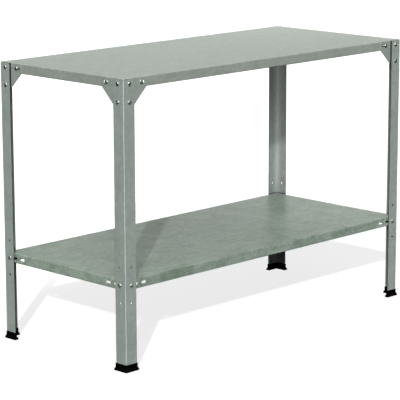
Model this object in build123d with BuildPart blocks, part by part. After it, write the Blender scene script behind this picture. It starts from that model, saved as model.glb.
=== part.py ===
from build123d import *
import os

# Two-tier bench of folded galvanised sheet, bolted together, in millimetres.
# Origin: on the floor, under the middle of the bench. +X along its length, +Y to its back, +Z up.

# Overall sizes, over the outer faces of the legs
bench_length = 1100.0
bench_width = 480.0
bench_height = 765.0
lower_shelf_top = 242.5

# Legs: equal angles folded from sheet
leg_flange = 38.0
leg_sheet = 2.0
leg_inner_bend = 0.6
leg_top_drop = 0.8

# Shelves: folded pans, open underneath, with a return lip along each flange
shelf_sheet = 1.2
shelf_flange = 27.0
shelf_lip = 13.0
shelf_outer_bend = 2.6
shelf_seam_gap = 0.8

# Gusset plates, between the legs and the top shelf's flanges
gusset_sheet = 2.0
gusset_reach = 82.0
gusset_drop = 76.0
gusset_top_drop = 1.6
gusset_corner_gap = 1.0
gusset_corner_radius = 1.5

# Bolt holes and slots, from the leg's outer corner and from a shelf's top
bolt_from_corner = 21.0
bolt_from_top = 13.5
bolt_pitch = 47.5
near_slot_from_corner = 39.0
far_slot_from_corner = 68.8
slot_length = 17.0
slot_clearance = 1.0

# Pan-head bolts, plain washers and hexagon nuts
bolt_diameter = 6.0
bolt_length = 12.0
bolt_hole_clearance = 0.5
bolt_tip_chamfer = 0.6
head_diameter = 10.6
head_height = 3.2
head_edge = 1.0
head_crown_radius = 8.5
recess_width = 1.3
recess_length = 6.0
recess_depth = 1.7
nut_across_flats = 10.0
nut_height = 5.0
nut_chamfer = 0.6
nut_bore_clearance = 0.1
washer_diameter = 13.0

# Plastic feet, pushed over the ends of the legs
foot_height = 19.5
foot_wall = 1.4
foot_sole = 3.0
foot_socket_clearance = 0.15
foot_base_height = 4.0
foot_flare_height = 9.0
foot_base_spread = 5.0
foot_end_spread = 3.2
foot_neck_radius = 3.4
foot_base_radius = 6.0
foot_inner_radius = 1.5
foot_rim_chamfer = 0.4

# Sizes that follow from the ones above
shelf_inset = leg_sheet + gusset_sheet
shelf_length = bench_length - 2 * shelf_inset
shelf_width = bench_width - 2 * shelf_inset
stack_to_shelf = shelf_inset + shelf_sheet
leg_outer_bend = leg_sheet + leg_inner_bend
leg_bottom = foot_sole
leg_top = bench_height - leg_top_drop
bolt_hole_radius = (bolt_diameter + bolt_hole_clearance) / 2
slot_height = bolt_diameter + slot_clearance
top_bolt_height = bench_height - bolt_from_top
gusset_bolt_height = top_bolt_height - bolt_pitch
lower_bolt_height = lower_shelf_top - bolt_from_top
slot_end_bolt = far_slot_from_corner - (slot_length - slot_height) / 2
spare_hole_heights = [lower_bolt_height - bolt_pitch, lower_bolt_height + bolt_pitch]
leg_hole_heights = [top_bolt_height, gusset_bolt_height, lower_bolt_height] + spare_hole_heights

# A plane at the foot of each leg's outer corner. Its x and y run inwards along the two faces.
half_length = bench_length / 2
half_width = bench_width / 2
corners = {
    "front_left": Plane(origin=(-half_length, -half_width, 0), x_dir=(1, 0, 0), z_dir=(0, 0, 1)),
    "front_right": Plane(origin=(half_length, -half_width, 0), x_dir=(0, 1, 0), z_dir=(0, 0, 1)),
    "back_right": Plane(origin=(half_length, half_width, 0), x_dir=(-1, 0, 0), z_dir=(0, 0, 1)),
    "back_left": Plane(origin=(-half_length, half_width, 0), x_dir=(0, -1, 0), z_dir=(0, 0, 1)),
}


def outer_faces(corner):
    """The leg's two outer faces, upright and facing out, each with the sign of its x away from the corner."""
    along_x = Plane(origin=corner.origin, x_dir=corner.x_dir, z_dir=-corner.y_dir)
    along_y = Plane(origin=corner.origin, x_dir=-corner.y_dir, z_dir=-corner.x_dir)
    return [(along_x, 1), (along_y, -1)]


def angle_outline(plane, outside, end, inside, outer_radius, inner_radius):
    """The leg's L-shaped section, grown past its outer faces, its two ends and its inner faces."""
    tip = leg_flange + end
    inner = leg_sheet + inside
    with BuildSketch(plane) as outline:
        with BuildLine():
            Polyline(
                (-outside, -outside),
                (tip, -outside),
                (tip, inner),
                (inner, inner),
                (inner, tip),
                (-outside, tip),
                close=True,
            )
        make_face()
        along_diagonal = outline.vertices().sort_by(Axis((0, 0, 0), (1, 1, 0)))
        fillet(along_diagonal[0], outer_radius)
        fillet(outline.vertices().sort_by_distance((inner, inner, 0))[0], inner_radius)
    return outline


def finish_node(piece, name):
    """Labels a finished piece and writes it to its own file."""
    piece.label = name
    export_step(piece, f"parts/{name}.step")


def make_leg(corner):
    """Folded angle with a row of bolt holes in each flange."""
    section = angle_outline(corner.offset(leg_bottom), 0, 0, 0, leg_outer_bend, leg_inner_bend)
    with BuildPart() as leg:
        extrude(section.sketch, amount=leg_top - leg_bottom)
        for face, away in outer_faces(corner):
            with BuildSketch(face) as holes:
                with Locations(*[(away * bolt_from_corner, height) for height in leg_hole_heights]):
                    Circle(bolt_hole_radius)
            extrude(amount=-leg_sheet, mode=Mode.SUBTRACT)
    return leg.part


def make_shelf(shelf_top):
    """Folded pan with bolt holes and slots at both ends of each flange."""
    inner_bend = shelf_outer_bend - shelf_sheet
    with BuildPart() as cavity:
        with Locations((0, 0, shelf_top - shelf_flange / 2)):
            Box(shelf_length - 2 * shelf_sheet, shelf_width - 2 * shelf_sheet, shelf_flange - 2 * shelf_sheet)
        fillet(cavity.edges().filter_by(Plane.XY), inner_bend)
    with BuildPart() as shelf:
        with Locations((0, 0, shelf_top - shelf_flange / 2)):
            Box(shelf_length, shelf_width, shelf_flange)
        fillet(shelf.edges().filter_by(Plane.XY), shelf_outer_bend)
        add(cavity.part, mode=Mode.SUBTRACT)
        with Locations((0, 0, shelf_top - shelf_flange)):
            Box(
                shelf_length - 2 * shelf_lip,
                shelf_width - 2 * shelf_lip,
                2 * shelf_outer_bend,
                mode=Mode.SUBTRACT,
            )
        # The flanges and lips meet at each corner in an open seam, below the top's bend
        seam_reach = shelf_inset + shelf_lip
        for corner in corners.values():
            with BuildSketch(corner.offset(shelf_top - shelf_flange)) as seam:
                with Locations((seam_reach / 2, seam_reach / 2)):
                    Rectangle(2 * seam_reach, shelf_seam_gap, rotation=45)
            extrude(amount=shelf_flange - shelf_outer_bend, mode=Mode.SUBTRACT)
            for face, away in outer_faces(corner):
                with BuildSketch(face.offset(-shelf_inset)) as holes:
                    with Locations((away * bolt_from_corner, shelf_top - bolt_from_top)):
                        Circle(bolt_hole_radius)
                    with Locations(
                        (away * near_slot_from_corner, shelf_top - bolt_from_top),
                        (away * far_slot_from_corner, shelf_top - bolt_from_top),
                    ):
                        SlotOverall(slot_length, slot_height)
                extrude(amount=-shelf_sheet, mode=Mode.SUBTRACT)
    return shelf.part


def make_gusset(face, away):
    """Five-sided plate behind the leg's flange, with a 45 degree edge down to the leg."""
    start = away * (shelf_inset + gusset_corner_gap)
    reach = away * gusset_reach
    top = bench_height - gusset_top_drop
    flange_bottom = bench_height - shelf_flange
    bottom = bench_height - gusset_drop
    foot_of_slope = away * (gusset_reach - (flange_bottom - bottom))
    with BuildPart() as gusset:
        with BuildSketch(face.offset(-leg_sheet)) as outline:
            with BuildLine():
                Polyline(
                    (start, top),
                    (reach, top),
                    (reach, flange_bottom),
                    (foot_of_slope, bottom),
                    (start, bottom),
                    close=True,
                )
            make_face()
            fillet(outline.vertices(), gusset_corner_radius)
            with Locations(
                (away * bolt_from_corner, top_bolt_height),
                (away * bolt_from_corner, gusset_bolt_height),
            ):
                Circle(bolt_hole_radius, mode=Mode.SUBTRACT)
            with Locations((away * far_slot_from_corner, top_bolt_height)):
                SlotOverall(slot_length, slot_height, mode=Mode.SUBTRACT)
        extrude(amount=-gusset_sheet)
    return gusset.part


def make_foot(corner):
    """L-shaped cap with a flared base and a socket that the leg's end stands in."""
    wide = (foot_base_spread, foot_end_spread, foot_base_spread, foot_base_radius, foot_inner_radius)
    narrow = (foot_wall, foot_wall, foot_wall, foot_neck_radius, foot_inner_radius)
    gap = foot_socket_clearance
    base = angle_outline(corner, *wide)
    base_top = angle_outline(corner.offset(foot_base_height), *wide)
    neck = angle_outline(corner.offset(foot_flare_height), *narrow)
    socket = angle_outline(corner.offset(foot_sole), gap, gap, gap, leg_outer_bend, leg_inner_bend + gap)
    with BuildPart() as foot:
        extrude(base.sketch, amount=foot_base_height)
        loft([base_top.sketch, neck.sketch], ruled=True)
        extrude(neck.sketch, amount=foot_height - foot_flare_height)
        chamfer(foot.faces().sort_by(Axis.Z)[-1].edges(), foot_rim_chamfer)
        extrude(socket.sketch, amount=foot_height, mode=Mode.SUBTRACT)
    return foot.part


def make_bolt():
    """Pan-head bolt pointing along -Z, with the underside of its head at the origin."""
    shank = bolt_diameter / 2
    head = head_diameter / 2
    with BuildPart() as bolt:
        with BuildSketch(Plane.XZ) as profile:
            with BuildLine():
                Polyline(
                    (0, head_height),
                    (0, -bolt_length),
                    (shank - bolt_tip_chamfer, -bolt_length),
                    (shank, -bolt_length + bolt_tip_chamfer),
                    (shank, 0),
                    (head, 0),
                    (head, head_edge),
                )
                RadiusArc((head, head_edge), (0, head_height), -head_crown_radius)
            make_face()
        revolve(axis=Axis.Z)
        with Locations((0, 0, head_height)):
            Box(recess_length, recess_width, 2 * recess_depth, mode=Mode.SUBTRACT)
            Box(recess_width, recess_length, 2 * recess_depth, mode=Mode.SUBTRACT)
    return bolt.part


def make_nut():
    """Hexagon nut standing along -Z from the origin, with its corners chamfered on the free side."""
    with BuildPart() as nut:
        with BuildSketch() as hexagon:
            RegularPolygon(nut_across_flats / 2, 6, major_radius=False)
            Circle((bolt_diameter + nut_bore_clearance) / 2, mode=Mode.SUBTRACT)
        extrude(amount=-nut_height)
        rim = nut.edges().filter_by(GeomType.LINE).filter_by(Plane.XY).group_by(Axis.Z)[0]
        chamfer(rim, nut_chamfer)
    return nut.part


def make_washer():
    """Plain washer on XY, as thick as a gusset, so that it fills the same gap behind the leg."""
    with BuildPart() as washer:
        with BuildSketch() as ring:
            Circle(washer_diameter / 2)
            Circle(bolt_hole_radius, mode=Mode.SUBTRACT)
        extrude(amount=-gusset_sheet)
    return washer.part


def place_group(piece, places):
    """One compound of separate copies of a fastener, each turned to face out of its leg at its own depth."""
    copies = [face.offset(-depth) * Pos(across, height, 0) * piece for face, across, height, depth in places]
    return Compound(children=copies)


os.makedirs("parts", exist_ok=True)

for shelf_name, shelf_top in (("top_shelf", bench_height), ("lower_shelf", lower_shelf_top)):
    finish_node(make_shelf(shelf_top), shelf_name)

bolt = make_bolt()
nut = make_nut()
washer = make_washer()

for corner_name, corner in corners.items():
    finish_node(make_leg(corner), f"leg_{corner_name}")
    finish_node(make_foot(corner), f"foot_{corner_name}")

    top_bolts = []
    top_nuts = []
    lower_bolts = []
    lower_nuts = []
    lower_washers = []
    for face, away in outer_faces(corner):
        side = "long" if abs(face.x_dir.X) > abs(face.x_dir.Y) else "end"
        finish_node(make_gusset(face, away), f"gusset_{corner_name}_{side}")
        beside_corner = away * bolt_from_corner
        # leg, gusset and shelf; leg and gusset; gusset and shelf, at the near end of the gusset's slot
        top_bolts.append((face, beside_corner, top_bolt_height, 0))
        top_bolts.append((face, beside_corner, gusset_bolt_height, 0))
        top_bolts.append((face, away * slot_end_bolt, top_bolt_height, leg_sheet))
        top_nuts.append((face, beside_corner, top_bolt_height, stack_to_shelf))
        top_nuts.append((face, beside_corner, gusset_bolt_height, shelf_inset))
        top_nuts.append((face, away * slot_end_bolt, top_bolt_height, stack_to_shelf))
        # leg, washer and lower shelf
        lower_bolts.append((face, beside_corner, lower_bolt_height, 0))
        lower_washers.append((face, beside_corner, lower_bolt_height, leg_sheet))
        lower_nuts.append((face, beside_corner, lower_bolt_height, stack_to_shelf))
    finish_node(place_group(bolt, top_bolts), f"bolts_top_{corner_name}")
    finish_node(place_group(nut, top_nuts), f"nuts_top_{corner_name}")
    finish_node(place_group(bolt, lower_bolts), f"bolts_lower_{corner_name}")
    finish_node(place_group(nut, lower_nuts), f"nuts_lower_{corner_name}")
    finish_node(place_group(washer, lower_washers), f"washers_lower_{corner_name}")
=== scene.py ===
import math

import bmesh
import bpy
from mathutils import Matrix, Vector


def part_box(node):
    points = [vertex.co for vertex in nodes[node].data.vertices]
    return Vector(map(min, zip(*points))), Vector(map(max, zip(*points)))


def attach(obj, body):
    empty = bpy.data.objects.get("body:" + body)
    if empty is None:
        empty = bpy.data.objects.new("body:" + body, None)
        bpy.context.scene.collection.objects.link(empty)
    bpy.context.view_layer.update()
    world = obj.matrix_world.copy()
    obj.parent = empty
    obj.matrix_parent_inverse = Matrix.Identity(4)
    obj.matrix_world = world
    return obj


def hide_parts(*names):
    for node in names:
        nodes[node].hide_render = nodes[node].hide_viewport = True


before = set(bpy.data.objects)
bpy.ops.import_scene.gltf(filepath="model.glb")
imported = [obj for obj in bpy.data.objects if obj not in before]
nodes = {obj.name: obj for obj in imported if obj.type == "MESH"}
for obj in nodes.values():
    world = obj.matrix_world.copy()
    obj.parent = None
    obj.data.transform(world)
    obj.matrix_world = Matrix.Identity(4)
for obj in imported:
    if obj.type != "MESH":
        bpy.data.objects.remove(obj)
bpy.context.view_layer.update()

MM = 0.001


# ---------------------------------------------------------------- node trees written as plain maths

class Wire:
    """One output in a node tree. Maths on it adds the Math nodes that work it out."""

    def __init__(self, tree, node, output=None):
        self.tree = tree
        self.node = node
        self.socket = output or next(out for out in node.outputs if out.enabled)

    def __getitem__(self, name):
        found = [out for out in self.node.outputs if out.enabled and out.name == name]
        return Wire(self.tree, self.node, found[0])

    def math(self, operation, *others):
        return self.tree.add("ShaderNodeMath", {"operation": operation}, dict(enumerate((self, *others))))

    def flipped(self, operation, other):
        return self.tree.add("ShaderNodeMath", {"operation": operation}, {0: other, 1: self})

    def __add__(self, other):
        return self.math("ADD", other)

    def __sub__(self, other):
        return self.math("SUBTRACT", other)

    def __mul__(self, other):
        return self.math("MULTIPLY", other)

    def __truediv__(self, other):
        return self.math("DIVIDE", other)

    def __pow__(self, other):
        return self.math("POWER", other)

    def __radd__(self, other):
        return self.flipped("ADD", other)

    def __rsub__(self, other):
        return self.flipped("SUBTRACT", other)

    def __rmul__(self, other):
        return self.flipped("MULTIPLY", other)


class Tree:
    """Adds nodes to a material's, a world's or a modifier's tree, one call for each."""

    def __init__(self, tree):
        self.tree = tree

    def add(self, kind, settings=None, sockets=None):
        node = self.tree.nodes.new(kind)
        for name, value in (settings or {}).items():
            if name == "stops":
                self.set_stops(node.color_ramp, value)
            else:
                setattr(node, name, value)
        for name, value in (sockets or {}).items():
            if isinstance(name, int):
                socket = node.inputs[name]
            else:
                socket = next(s for s in node.inputs if s.enabled and s.name == name)
            for one in value if isinstance(value, list) else [value]:
                if isinstance(one, Wire):
                    self.tree.links.new(one.socket, socket)
                else:
                    socket.default_value = one
        return Wire(self, node) if any(out.enabled for out in node.outputs) else node

    def set_stops(self, ramp, stops):
        while len(ramp.elements) < len(stops):
            ramp.elements.new(1.0)
        for element, (place, level) in zip(ramp.elements, stops):
            element.position = place
            element.color = (level, level, level, 1.0)


# ---------------------------------------------------------------- finishes

def new_finish(name):
    """An empty material with its tree and the coordinates of the piece it is on."""
    material = bpy.data.materials.new(name)
    material.use_nodes = True
    material.node_tree.nodes.clear()
    tree = Tree(material.node_tree)
    place = tree.add("ShaderNodeTexCoord")["Object"]
    return material, tree, place


def stretched(tree, place, scale):
    """The coordinates, scaled by a different amount each way, so that a pattern on them is drawn out."""
    return tree.add("ShaderNodeMapping", {"vector_type": "POINT"}, {"Vector": place, "Scale": scale})


def noise(tree, place, scale, detail=3.0, roughness=0.5):
    return tree.add(
        "ShaderNodeTexNoise", {}, {"Vector": place, "Scale": scale, "Detail": detail, "Roughness": roughness}
    )["Fac"]


def ramp(tree, value, *stops):
    return tree.add("ShaderNodeValToRGB", {"stops": stops}, {"Fac": value})["Color"]


def blend_colours(tree, factor, first, second):
    return tree.add(
        "ShaderNodeMix",
        {"data_type": "RGBA"},
        {"Factor": factor, "A": (*first, 1.0), "B": (*second, 1.0)},
    )


def close_finish(tree, shader):
    tree.add("ShaderNodeOutputMaterial", {}, {"Surface": shader})


def tinted(tree, factor, colour, tint, way="MIX"):
    """The colour, taken towards the tint (or, with MULTIPLY, multiplied by it) by the factor."""
    return tree.add(
        "ShaderNodeMix",
        {"data_type": "RGBA", "blend_type": way},
        {"Factor": factor, "A": colour, "B": (*tint, 1.0)},
    )


def rising(value, start, end):
    """0 below the start and 1 above the end, in a straight line between."""
    return ((value - start) / (end - start)).math("MAXIMUM", 0.0).math("MINIMUM", 1.0)


def leg_painted_shade_and_highlights(tree, place, colour):
    """Painted shade and highlights on the legs: inner faces of the folded angles darkened as painted shade and
    lightened towards the inner bend as a painted highlight, a painted highlight along the outer bend, and near-black
    painted shade on the sheared edges, the hole walls and a line where the inner faces meet the lower shelf.
    """
    low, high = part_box("leg_back_right")
    across = tree.add("ShaderNodeSeparateXYZ", {}, {0: place})
    x, y = across["X"].math("ABSOLUTE"), across["Y"].math("ABSOLUTE")
    inside = x.math("LESS_THAN", high.x - 1.5 * MM) * y.math("LESS_THAN", high.y - 1.5 * MM)
    # Near-black painted shade on the sheared edges, the hole walls and a line where the inner faces meet the lower
    # shelf
    painted_edge_shade = x.math("COMPARE", low.x, 0.2 * MM).math("MAXIMUM", y.math("COMPARE", low.y, 0.2 * MM))
    for along, other, top, limit in ((x, y, high.x, high.y), (y, x, high.y, high.x)):
        hole_shade = along.math("COMPARE", top - 1.0 * MM, 0.7 * MM) * other.math("LESS_THAN", limit - 6.0 * MM)
        painted_edge_shade = painted_edge_shade.math("MAXIMUM", hole_shade)
    contact_shade = inside * across["Z"].math("COMPARE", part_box("lower_shelf")[1].z + 1.5 * MM, 1.5 * MM)
    painted_edge_shade = painted_edge_shade.math("MAXIMUM", contact_shade * 0.7)
    to_bend = ((x - low.x) / (high.x - low.x)).math("MINIMUM", (y - low.y) / (high.y - low.y))
    # Painted shade darkens the inner faces, and a painted highlight lightens them towards the inner bend
    shaded_inside = tinted(tree, inside, colour, (0.77, 0.73, 0.76), "MULTIPLY")
    inner_bend_highlight = tinted(tree, inside * rising(to_bend, 0.45, 1.0), shaded_inside, (0.44, 0.46, 0.45))
    # Painted highlight along the outer bend
    bend = x.math("GREATER_THAN", high.x - 1.3 * MM) * y.math("GREATER_THAN", high.y - 1.3 * MM)
    outer_bend_highlight = tinted(tree, bend, inner_bend_highlight, (0.52, 0.56, 0.56))
    return tinted(tree, painted_edge_shade, outer_bend_highlight, (0.02, 0.02, 0.02))


def darker_middle(tree, place, colour):
    """The lower shelf's top face, darker towards the middle of its length."""
    across = tree.add("ShaderNodeSeparateXYZ", {}, {0: place})
    on_top = across["Z"].math("GREATER_THAN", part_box("lower_shelf")[1].z - 0.5 * MM)
    middle = on_top * (1.0 - rising(across["X"].math("ABSOLUTE"), 0.05, 0.45))
    return tinted(tree, middle, colour, (0.88, 0.88, 0.88), "MULTIPLY")


def gusset_painted_shade(tree, place, colour):
    """Painted shade on the gussets: a near-black band beside the leg's free edge, where the gap behind the edge lies
    in shade, drawn beside the two legs of one diagonal only; and the inner face darkened to a quarter.
    """
    leg_low, leg_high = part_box("leg_back_right")
    across = tree.add("ShaderNodeSeparateXYZ", {}, {0: place})
    x, y = across["X"].math("ABSOLUTE"), across["Y"].math("ABSOLUTE")
    # Painted shade: a near-black band just inside the leg's free edge, beside the two legs of one diagonal
    gap_shade = x.math("COMPARE", leg_low.x - 2.0 * MM, 2.0 * MM).math(
        "MAXIMUM", y.math("COMPARE", leg_low.y - 2.0 * MM, 2.0 * MM)
    )
    other_diagonal = (across["X"] * across["Y"]).math("LESS_THAN", 0.0)
    inside = x.math("LESS_THAN", leg_high.x - 3.5 * MM) * y.math("LESS_THAN", leg_high.y - 3.5 * MM)
    # Painted shade: the inner face darkened to a quarter
    shaded_inside = tinted(tree, inside, colour, (0.25, 0.25, 0.25), "MULTIPLY")
    return tinted(tree, gap_shade * other_diagonal, shaded_inside, (0.03, 0.03, 0.03))


def galvanised_steel(
    name, rolled, dark, light, roughness, metallic, clouding, cloud_scale, contrast, painted_shade_and_tone=None
):
    """Hot-dip zinc on sheet: clouds and faint crystals, and fine streaks along the way it was rolled."""
    material, tree, place = new_finish(name)
    along = {"X": (1.2, 42.0, 42.0), "Z": (42.0, 42.0, 1.2)}[rolled]
    streaks = noise(tree, stretched(tree, place, along), 9.0, 4.0, 0.6)
    clouds = noise(tree, place, cloud_scale, 6.0, 0.62)
    crystals = tree.add(
        "ShaderNodeTexVoronoi", {"feature": "F1"}, {"Vector": place, "Scale": 95.0, "Randomness": 0.9}
    )["Color"]
    crystal_tone = tree.add("ShaderNodeSeparateColor", {}, {"Color": crystals})["Red"]
    grain = noise(tree, place, 420.0, 3.0, 0.6)
    tone = clouding * clouds + 0.30 * streaks + 0.10 * crystal_tone + (0.60 - clouding) * grain
    mixed = tree.add(
        "ShaderNodeMapRange",
        {},
        {"Value": tone, "From Min": 0.5 - contrast, "From Max": 0.5 + contrast, "To Min": 0.0, "To Max": 1.0},
    )
    colour = blend_colours(tree, mixed, dark, light)
    # An optional layer over the colour: painted shade and highlights on the legs and gussets, a darker middle on the
    # lower shelf
    if painted_shade_and_tone:
        colour = painted_shade_and_tone(tree, place, colour)
    gloss = (roughness - 0.06) + 0.10 * clouds + 0.02 * streaks
    height = 0.5 * streaks + 0.6 * grain + 0.4 * clouds
    relief = tree.add("ShaderNodeBump", {}, {"Height": height, "Strength": 0.10, "Distance": 0.0006})
    shader = tree.add(
        "ShaderNodeBsdfPrincipled",
        {},
        {"Base Color": colour, "Metallic": metallic, "Roughness": gloss, "Normal": relief},
    )
    close_finish(tree, shader)
    return material


def zinc_plating(name, dark, light):
    """Bright plating on small turned and pressed pieces, with faint tool marks."""
    material, tree, place = new_finish(name)
    marks = noise(tree, place, 700.0, 3.0, 0.6)
    patches = noise(tree, place, 160.0, 2.0, 0.5)
    colour = blend_colours(tree, 0.6 * patches + 0.4 * marks, dark, light)
    relief = tree.add("ShaderNodeBump", {}, {"Height": marks, "Strength": 0.12, "Distance": 0.0002})
    shader = tree.add(
        "ShaderNodeBsdfPrincipled",
        {},
        {"Base Color": colour, "Metallic": 1.0, "Roughness": 0.28 + 0.12 * patches, "Normal": relief},
    )
    close_finish(tree, shader)
    return material


def moulded_plastic(name, dark, light):
    """Matt black moulding with a fine spark-eroded grain and a few dusty patches."""
    material, tree, place = new_finish(name)
    grain = noise(tree, place, 1400.0, 2.0, 0.5)
    dust = noise(tree, place, 70.0, 4.0, 0.6)
    colour = blend_colours(tree, ramp(tree, dust, (0.45, 0.0), (0.85, 1.0)), dark, light)
    relief = tree.add("ShaderNodeBump", {}, {"Height": grain, "Strength": 0.25, "Distance": 0.0002})
    shader = tree.add(
        "ShaderNodeBsdfPrincipled",
        {},
        {"Base Color": colour, "Roughness": 0.55 + 0.12 * dust, "Specular IOR Level": 0.03, "Normal": relief},
    )
    close_finish(tree, shader)
    return material


# Zinc sheet is a little green against pure grey
top_zinc = galvanised_steel(
    "top_zinc", "X", (0.365, 0.41, 0.37), (0.475, 0.53, 0.48), 0.36, 0.30, 0.22, 18.0, 0.09
)
# The lower shelf's zinc is a darker, greener, more clouded copy of the top's; its darker base is painted shade
shaded_lower_zinc = galvanised_steel(
    "shaded_lower_zinc", "X", (0.173, 0.23, 0.178), (0.335, 0.397, 0.34), 0.34, 0.32, 0.40, 15.0, 0.10,
    darker_middle
)
leg_zinc = galvanised_steel(
    "leg_zinc", "Z", (0.322, 0.372, 0.337), (0.412, 0.472, 0.432), 0.50, 0.22, 0.22, 22.0, 0.09,
    leg_painted_shade_and_highlights
)
gusset_zinc = galvanised_steel(
    "gusset_zinc", "X", (0.31, 0.36, 0.32), (0.40, 0.455, 0.41), 0.50, 0.22, 0.22, 22.0, 0.09,
    gusset_painted_shade
)
bolt_zinc = zinc_plating("bolt_zinc", (0.46, 0.50, 0.47), (0.66, 0.70, 0.66))
foot_black = moulded_plastic("foot_black", (0.001, 0.001, 0.001), (0.003, 0.003, 0.003))


def dress(node_name, material):
    piece = nodes[node_name]
    piece.data.materials.clear()
    piece.data.materials.append(material)
    return piece


FINISHES = {"leg": leg_zinc, "gusset": gusset_zinc, "foot": foot_black, "top": top_zinc, "lower": shaded_lower_zinc}
FASTENERS = ("bolts", "nuts", "washers")
for node_name in sorted(nodes):
    family = node_name.split("_")[0]
    if family not in FASTENERS:
        dress(node_name, FINISHES[family])


# ---------------------------------------------------------------- fasteners

HEAD_HEIGHT = 3.2 * MM
THREAD_PITCH = 1.0 * MM
THREAD_DEPTH = 0.55 * MM
ROWS_A_PITCH = 5
BOLT_TURN = 20
NUT_TURN = 48


def loose_solids(node_name):
    """The lowest and highest corners of each separate solid in a CAD node."""
    shape = bmesh.new()
    shape.from_mesh(nodes[node_name].data)
    bmesh.ops.remove_doubles(shape, verts=shape.verts, dist=0.01 * MM)
    shape.verts.ensure_lookup_table()
    seen = set()
    corners = []
    for start in shape.verts:
        if start.index in seen:
            continue
        seen.add(start.index)
        queue = [start]
        members = []
        while queue:
            vert = queue.pop()
            members.append(vert.co.copy())
            for edge in vert.link_edges:
                other = edge.other_vert(vert)
                if other.index not in seen:
                    seen.add(other.index)
                    queue.append(other)
        low = Vector([min(co[i] for co in members) for i in range(3)])
        high = Vector([max(co[i] for co in members) for i in range(3)])
        corners.append((low, high))
    shape.free()
    return corners


def seats(node_names, thickness):
    """Where each fastener sits and the way it faces: out from the bench, along its own axis.

    Its axis is the side of its box that is nearest to thickness, and its seat is that far in from its outer end.
    """
    places = []
    for node_name in node_names:
        for low, high in loose_solids(node_name):
            size = high - low
            axis = min((0, 1), key=lambda i: abs(size[i] - thickness))
            middle = (low + high) / 2
            facing = Vector((0, 0, 0))
            facing[axis] = math.copysign(1.0, middle[axis])
            outer_end = high[axis] if facing[axis] > 0 else low[axis]
            seat = middle.copy()
            seat[axis] = outer_end
            places.append((seat, facing))
    return places


def seat_points(name, places):
    """A mesh of loose points, one at each seat, that carries the way each fastener faces."""
    mesh = bpy.data.meshes.new(name)
    mesh.from_pydata([seat for seat, _ in places], [], [])
    way = mesh.attributes.new("facing", "FLOAT_VECTOR", "POINT")
    for item, (_, facing) in zip(way.data, places):
        item.vector = facing
    piece = bpy.data.objects.new(name, mesh)
    bpy.context.scene.collection.objects.link(piece)
    return piece


def new_modifier_tree(name, sizes):
    """A Geometry Nodes tree with one input for each named size, and a wire from each."""
    group = bpy.data.node_groups.new(name, "GeometryNodeTree")
    group.interface.new_socket("Geometry", in_out="INPUT", socket_type="NodeSocketGeometry")
    group.interface.new_socket("Geometry", in_out="OUTPUT", socket_type="NodeSocketGeometry")
    for size_name, value in sizes.items():
        kind = "NodeSocketInt" if isinstance(value, int) else "NodeSocketFloat"
        group.interface.new_socket(size_name, in_out="INPUT", socket_type=kind)
    tree = Tree(group)
    return group, tree, tree.add("NodeGroupInput")


def lathe(tree, segments, rows, radius_rule, height_rule, ring=False):
    """A closed turned form: a grid of rows by segments, wrapped round the Z axis by two rules.

    A ring has one more row, which lies on its first one and closes its bore.
    """
    made = rows + 1 if ring else rows
    grid = tree.add(
        "GeometryNodeMeshGrid",
        {},
        {"Size X": 1.0, "Size Y": 1.0, "Vertices X": segments + 1, "Vertices Y": made},
    )["Mesh"]
    across = tree.add("ShaderNodeSeparateXYZ", {}, {0: tree.add("GeometryNodeInputPosition")})
    turn = (across["X"] + 0.5) * (2 * math.pi)
    row = ((across["Y"] + 0.5) * (made - 1)).math("ROUND")
    if ring:
        row = row * row.math("LESS_THAN", rows - 0.5)
    radius = radius_rule(turn, row)
    height = height_rule(turn, row)
    place = tree.add(
        "ShaderNodeCombineXYZ",
        {},
        {"X": radius * turn.math("COSINE"), "Y": radius * turn.math("SINE"), "Z": height},
    )
    wrapped = tree.add("GeometryNodeSetPosition", {}, {"Geometry": grid, "Position": place})
    return tree.add("GeometryNodeMergeByDistance", {}, {"Geometry": wrapped, "Distance": 0.002 * MM})


def by_row(row, values):
    """The value for each row of a profile, and nothing past its end."""
    total = 0.0
    for index, value in enumerate(values):
        total = row.math("COMPARE", float(index), 0.1) * value + total
    return total


def set_out(group, tree, fastener, roll):
    """One copy of the fastener at each point, facing its own way and turned by a random part of roll."""
    inputs = next(node for node in group.nodes if node.type == "GROUP_INPUT")
    points = Wire(tree, inputs)["Geometry"]
    facing = tree.add("GeometryNodeInputNamedAttribute", {"data_type": "FLOAT_VECTOR"}, {"Name": "facing"})
    aligned = tree.add("FunctionNodeAlignRotationToVector", {"axis": "Z"}, {"Vector": facing["Attribute"]})
    copies = tree.add(
        "GeometryNodeInstanceOnPoints", {}, {"Points": points, "Instance": fastener, "Rotation": aligned}
    )
    chance = tree.add(
        "FunctionNodeRandomValue",
        {"data_type": "FLOAT"},
        {"Min": 0.0, "Max": roll, "Seed": Wire(tree, inputs)["Seed"]},
    )["Value"]
    spin = tree.add("ShaderNodeCombineXYZ", {}, {"Z": chance})
    turned = tree.add("GeometryNodeRotateInstances", {}, {"Instances": copies, "Rotation": spin})
    return tree.add("GeometryNodeRealizeInstances", {}, {"Geometry": turned})


def finish_modifier(tree, shape, material):
    painted = tree.add("GeometryNodeSetMaterial", {}, {"Geometry": shape, "Material": material})
    tree.add("NodeGroupOutput", {}, {"Geometry": painted})


def bake_modifier(piece, group, sizes):
    """Runs the tree on the piece with these sizes and keeps the result as a plain mesh."""
    modifier = piece.modifiers.new(group.name, "NODES")
    modifier.node_group = group
    for item in group.interface.items_tree:
        if item.in_out == "INPUT" and item.name in sizes:
            modifier[item.identifier] = sizes[item.name]
    shown = piece.evaluated_get(bpy.context.evaluated_depsgraph_get())
    mesh = bpy.data.meshes.new_from_object(shown)
    piece.modifiers.clear()
    piece.data = mesh
    shape = bmesh.new()
    shape.from_mesh(mesh)
    bmesh.ops.recalc_face_normals(shape, faces=shape.faces)
    shape.to_mesh(mesh)
    shape.free()
    return piece


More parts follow.
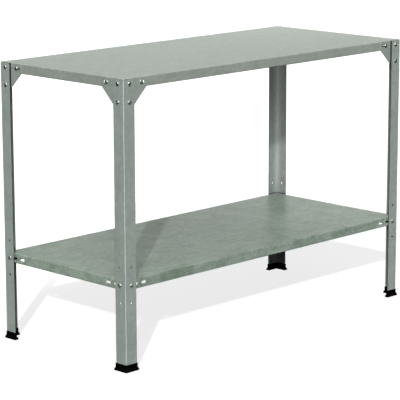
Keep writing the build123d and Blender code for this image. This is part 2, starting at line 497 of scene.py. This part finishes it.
def smooth_below(piece, degrees):
    """Smooth faces, with a crease wherever two faces meet at more than this angle."""
    mesh = piece.data
    mesh.shade_smooth()
    mesh.set_sharp_from_angle(angle=math.radians(degrees))
    return piece


def pan_head_bolts(places, sizes, material):
    """Pan heads with a cross recess, on threaded shanks with a chamfered tip."""
    group, tree, size = new_modifier_tree("pan_head_bolt", sizes)
    head, edge, shank = size["Head Radius"], size["Head Edge"], size["Shank Radius"]
    top, length, pitch = size["Head Height"], size["Shank Length"], size["Pitch"]
    depth = size["Thread Depth"]
    dome = [(0.0, 1.0), (0.30, 0.985), (0.55, 0.93), (0.76, 0.80), (0.90, 0.58), (0.97, 0.30)]
    radii = [head * r for r, _ in dome] + [head, head * 0.985, shank]
    heights = [edge + (top - edge) * z for _, z in dome] + [edge, 0.02 * MM, 0.02 * MM]
    thread_rows = int(round(sizes["Shank Length"] / sizes["Pitch"])) * ROWS_A_PITCH
    rows = len(radii) + thread_rows + 1

    def height_rule(turn, row):
        below = ((row - (len(radii) - 1)) / thread_rows).math("MAXIMUM", 0.0).math("MINIMUM", 1.0)
        return by_row(row, heights) - below * length

    def radius_rule(turn, row):
        along = (row - (len(radii) - 1)) * (length / thread_rows)
        phase = (along / pitch + turn / (2 * math.pi)).math("FRACT")
        crest = shank - depth * (2.0 * phase - 1.0).math("ABSOLUTE")
        tip = shank - 1.4 * depth + (length - along)
        threaded = crest.math("MINIMUM", tip)
        in_thread = row.math("GREATER_THAN", len(radii) - 0.5) * row.math("LESS_THAN", rows - 1.5)
        return by_row(row, radii) + in_thread * threaded

    turned = lathe(tree, BOLT_TURN, rows, radius_rule, height_rule)
    cut = size["Recess Depth"]
    bars = [
        tree.add("GeometryNodeMeshCube", {}, {"Size": tree.add("ShaderNodeCombineXYZ", {}, dims)})["Mesh"]
        for dims in (
            {"X": size["Recess Length"], "Y": size["Recess Width"], "Z": 2.0 * cut},
            {"X": size["Recess Width"], "Y": size["Recess Length"], "Z": 1.8 * cut},
        )
    ]
    raised = [
        tree.add(
            "GeometryNodeTransform", {}, {"Geometry": bar, "Translation": tree.add("ShaderNodeCombineXYZ", {}, {"Z": top})}
        )
        for bar in bars
    ]
    recessed = tree.add(
        "GeometryNodeMeshBoolean", {"operation": "DIFFERENCE"}, {"Mesh 1": turned, "Mesh 2": raised}
    )["Mesh"]
    seated = tree.add(
        "GeometryNodeTransform",
        {},
        {"Geometry": recessed, "Translation": tree.add("ShaderNodeCombineXYZ", {}, {"Z": 0.0 - top})},
    )
    finish_modifier(tree, set_out(group, tree, seated, math.pi / 2), material)
    return smooth_below(bake_modifier(seat_points("pan_head_bolts", places), group, sizes), 38)


def hex_nuts(places, sizes, material):
    """Hexagon nuts with their corners turned off at both ends, and a threaded bore."""
    group, tree, size = new_modifier_tree("hex_nut", sizes)
    flat, thick, bore = size["Half Across Flats"], size["Thickness"], size["Bore Radius"]
    crown = size["Crown"]
    steps = [(0.0, -0.5), (0.06, 0.0), (0.15, 0.5), (0.5, 1.0), (0.85, 0.5), (0.94, 0.0), (1.0, -0.5)]
    bore_rows = 20
    rows = len(steps) + 2 + bore_rows

    def height_rule(turn, row):
        inside = ((row - len(steps)) / (bore_rows + 1)).math("MAXIMUM", 0.0)
        outside = by_row(row, [z for z, _ in steps])
        past = row.math("GREATER_THAN", len(steps) - 0.5)
        return 0.0 - thick * (outside + past * (1.0 - inside).math("MAXIMUM", 0.0))

    def radius_rule(turn, row):
        sixth = math.pi / 3
        corner = (turn / sixth).math("FRACT") * sixth - sixth / 2
        hexagon = flat / corner.math("COSINE")
        cone = flat * 1.02 + crown * by_row(row, [c for _, c in steps]) * 1.6
        outer = hexagon.math("MINIMUM", cone)
        in_bore = row.math("GREATER_THAN", len(steps) - 0.5)
        groove = (turn / (2 * math.pi) + (row - len(steps)) * 0.2).math("FRACT")
        threads = bore - 0.25 * MM * (2.0 * groove - 1.0).math("ABSOLUTE")
        return outer * (1.0 - in_bore) + in_bore * threads

    turned = lathe(tree, NUT_TURN, rows, radius_rule, height_rule, ring=True)
    finish_modifier(tree, set_out(group, tree, turned, math.pi / 3), material)
    return smooth_below(bake_modifier(seat_points("hex_nuts", places), group, sizes), 30)


def washers(places, sizes, material):
    """Stamped washers: one rounded rim and one sharp one."""
    group, tree, size = new_modifier_tree("spacing_washer", sizes)
    outer, bore, thick = size["Outer Radius"], size["Bore Radius"], size["Thickness"]
    round_off = 0.35 * MM
    radii = [bore, outer - round_off, outer - 0.1 * MM, outer, outer, bore]
    heights = [0.0, 0.0, 0.08 * MM, round_off, thick, thick]

    def height_rule(turn, row):
        return 0.0 - by_row(row, heights)

    def radius_rule(turn, row):
        return by_row(row, radii)

    turned = lathe(tree, 40, len(radii), radius_rule, height_rule, ring=True)
    finish_modifier(tree, set_out(group, tree, turned, math.pi), material)
    return smooth_below(bake_modifier(seat_points("spacing_washers", places), group, sizes), 35)


def named(prefix):
    return [node_name for node_name in sorted(nodes) if node_name.startswith(prefix)]


def side_of(node_name, which):
    """The smallest or largest side, along the bench, of the first solid in a CAD node."""
    low, high = loose_solids(node_name)[0]
    return which((high - low)[0], (high - low)[1])


head_diameter = side_of(named("bolts")[0], min)
bolt_whole = side_of(named("bolts")[0], max)
nut_thickness = side_of(named("nuts")[0], min)
washer_thickness = side_of(named("washers")[0], min)
washer_diameter = side_of(named("washers")[0], max)

bolt_sizes = {
    "Head Radius": head_diameter / 2,
    "Head Height": HEAD_HEIGHT,
    "Head Edge": 1.0 * MM,
    "Shank Radius": 3.0 * MM,
    "Shank Length": bolt_whole - HEAD_HEIGHT,
    "Pitch": THREAD_PITCH,
    "Thread Depth": THREAD_DEPTH,
    "Recess Length": 5.6 * MM,
    "Recess Width": 1.2 * MM,
    "Recess Depth": 1.7 * MM,
    "Seed": 11,
}
nut_sizes = {
    "Half Across Flats": 5.0 * MM,
    "Thickness": nut_thickness,
    "Crown": 0.45 * MM,
    "Bore Radius": 3.25 * MM,
    "Seed": 5,
}
washer_sizes = {
    "Outer Radius": washer_diameter / 2,
    "Bore Radius": 3.25 * MM,
    "Thickness": washer_thickness,
    "Seed": 3,
}
bolts = pan_head_bolts(seats(named("bolts"), bolt_whole), bolt_sizes, bolt_zinc)
nuts = hex_nuts(seats(named("nuts"), nut_thickness), nut_sizes, bolt_zinc)
spacers = washers(seats(named("washers"), washer_thickness), washer_sizes, bolt_zinc)
for piece, prefix in ((bolts, "bolts"), (nuts, "nuts"), (spacers, "washers")):
    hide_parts(*named(prefix))
    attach(piece, "root")


# ---------------------------------------------------------------- floor, light and camera

def pale_floor():
    """A flat pale floor, wide enough to fill every view."""
    reach = 40.0
    mesh = bpy.data.meshes.new("studio_floor")
    mesh.from_pydata([(-reach, -reach, 0), (reach, -reach, 0), (reach, reach, 0), (-reach, reach, 0)], [], [(0, 1, 2, 3)])
    floor = bpy.data.objects.new("studio_floor", mesh)
    bpy.context.scene.collection.objects.link(floor)
    material, tree, place = new_finish("floor_paint")
    # Painted light: the floor glows brighter behind the bench, so that shadows cast there fade out
    behind = tree.add("ShaderNodeSeparateXYZ", {}, {0: place})["Y"]
    glow_behind = tree.add(
        "ShaderNodeMapRange",
        {"interpolation_type": "SMOOTHSTEP"},
        {"Value": behind, "From Min": 0.50, "From Max": 0.78, "To Min": 0.0, "To Max": 1.0},
    )
    glow = tree.add("ShaderNodeEmission", {}, {"Color": (1.0, 1.0, 1.0, 1.0), "Strength": 0.815 + 0.25 * glow_behind})
    paint = tree.add("ShaderNodeBsdfDiffuse", {}, {"Color": (0.05, 0.05, 0.05, 1.0)})
    close_finish(tree, tree.add("ShaderNodeAddShader", {}, {0: glow, 1: paint}))
    mesh.materials.append(material)
    # What stands on it is lit by the lamps alone, so that undersides stay as dark as they are outdoors
    floor.visible_diffuse = False
    floor.visible_glossy = False
    return floor


def heading(azimuth, fall):
    """The unit vector that goes this many degrees from +Y towards +X, and down by fall degrees."""
    a, f = math.radians(azimuth), math.radians(fall)
    return Vector((math.sin(a) * math.cos(f), math.cos(a) * math.cos(f), -math.sin(f)))


def studio_world(soft_boxes):
    """A dark studio with soft white patches of light, each fading out from the middle of its own part of the sky."""
    world = bpy.data.worlds.new("studio")
    bpy.context.scene.world = world
    world.use_nodes = True
    world.node_tree.nodes.clear()
    tree = Tree(world.node_tree)
    way = tree.add("ShaderNodeSeparateXYZ", {}, {0: tree.add("ShaderNodeTexCoord")["Generated"]})
    level = 0.0
    for azimuth, rise, focus, strength in soft_boxes:
        middle = heading(azimuth, -rise)
        facing = (way["X"] * middle.x + way["Y"] * middle.y + way["Z"] * middle.z).math("MAXIMUM", 0.0)
        level = facing ** focus * strength + level
    above_floor = (way["Z"] * 8.0).math("MAXIMUM", 0.0).math("MINIMUM", 1.0)
    glow = tree.add("ShaderNodeBackground", {}, {"Color": level * above_floor, "Strength": 1.0})
    tree.add("ShaderNodeOutputWorld", {}, {"Surface": glow})


def light_only(holder, pieces):
    """Keeps a lamp's light to these pieces."""
    lit = bpy.data.collections.new(f"lit_by_{holder.name}")
    for piece in pieces:
        lit.objects.link(piece)
    holder.light_linking.receiver_collection = lit


def shelf_bounce(shelf_node, power, pieces):
    """Light that the lower shelf throws back up into the bay, as a lamp that lies just above it."""
    low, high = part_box(shelf_node)
    lamp = bpy.data.lights.new("shelf_bounce", "AREA")
    lamp.shape = "RECTANGLE"
    lamp.size = 0.9 * (high.x - low.x)
    lamp.size_y = 0.85 * (high.y - low.y)
    lamp.energy = power
    holder = bpy.data.objects.new("shelf_bounce", lamp)
    middle = (low + high) / 2
    holder.matrix_world = Matrix.Translation((middle.x, middle.y, high.z + 5 * MM)) @ Matrix.Rotation(math.pi, 4, "X")
    holder.visible_camera = False
    holder.visible_glossy = False
    bpy.context.scene.collection.objects.link(holder)
    light_only(holder, pieces)


def back_panel(name, power, pieces, distance, height, middle_height, azimuth=45.0, width=2.2):
    """A tall soft panel beyond the far corner, that the shelves mirror at a low angle."""
    lamp = bpy.data.lights.new(name, "AREA")
    lamp.shape = "RECTANGLE"
    lamp.size = width
    lamp.size_y = height
    lamp.energy = power
    holder = bpy.data.objects.new(name, lamp)
    away = heading(azimuth, 0.0)
    holder.matrix_world = aim_matrix(away * distance + Vector((0, 0, middle_height)), -away, 0.0)
    holder.visible_camera = False
    bpy.context.scene.collection.objects.link(holder)
    light_only(holder, pieces)


def aim_matrix(place, forward, roll):
    """A matrix at place that looks along forward, turned by roll about it."""
    right = forward.cross(Vector((0, 0, 1))).normalized()
    up = right.cross(forward)
    turned_right = right * math.cos(roll) + up * math.sin(roll)
    turned_up = up * math.cos(roll) - right * math.sin(roll)
    turn = Matrix((turned_right, turned_up, -forward)).transposed()
    return Matrix.Translation(place) @ turn.to_4x4()


def key_light(name, strength, pieces, azimuth=51.0, fall=24.5, softness=1.0):
    """The main light: low, from the front left corner, at its own strength on each kind of piece."""
    lamp = bpy.data.lights.new(name, "SUN")
    lamp.energy = strength
    lamp.angle = math.radians(softness)
    holder = bpy.data.objects.new(name, lamp)
    holder.matrix_world = aim_matrix(Vector((0, 0, 3)), heading(azimuth, fall), 0.0)
    bpy.context.scene.collection.objects.link(holder)
    light_only(holder, pieces)


def camera(aim, azimuth, fall, distance, roll, lens):
    view = bpy.data.cameras.new("camera")
    view.sensor_width = 36.0
    view.lens = lens
    view.clip_end = 200.0
    holder = bpy.data.objects.new("camera", view)
    forward = heading(azimuth, fall)
    holder.matrix_world = aim_matrix(Vector(aim) - forward * distance, forward, math.radians(roll))
    bpy.context.scene.collection.objects.link(holder)
    bpy.context.scene.camera = holder


floor = pale_floor()
studio_world(
    [
        # azimuth, rise, focus, strength
        (221.0, 40.0, 16.0, 9.3),
        (45.0, 6.0, 40.0, 0.65),
        (0.0, 90.0, 4.0, 1.2),
    ]
)
frame_pieces = [nodes[node_name] for node_name in named("top") + named("leg") + named("gusset") + named("foot")]
frame_pieces += [bolts, nuts, spacers]
shelf_bounce("lower_shelf", 3.2, [nodes["leg_back_right"]])
back_panel("high_back_panel", 1.85, [nodes["top_shelf"]], 1.1, 0.25, 0.75)
back_panel("low_back_panel", 0.8, [nodes["lower_shelf"]], 1.1, 0.22, 0.38)
key_light("key_on_frame", 1.25, frame_pieces)
key_light("key_on_lower_shelf", 3.3, [nodes["lower_shelf"]])
key_light("key_on_floor", 28.0, [floor])
camera((0.0, 0.034, 0.3323), 45.38, 11.93, 5.4996, -0.163, 174.1)
bpy.context.scene.view_settings.view_transform = "Standard"
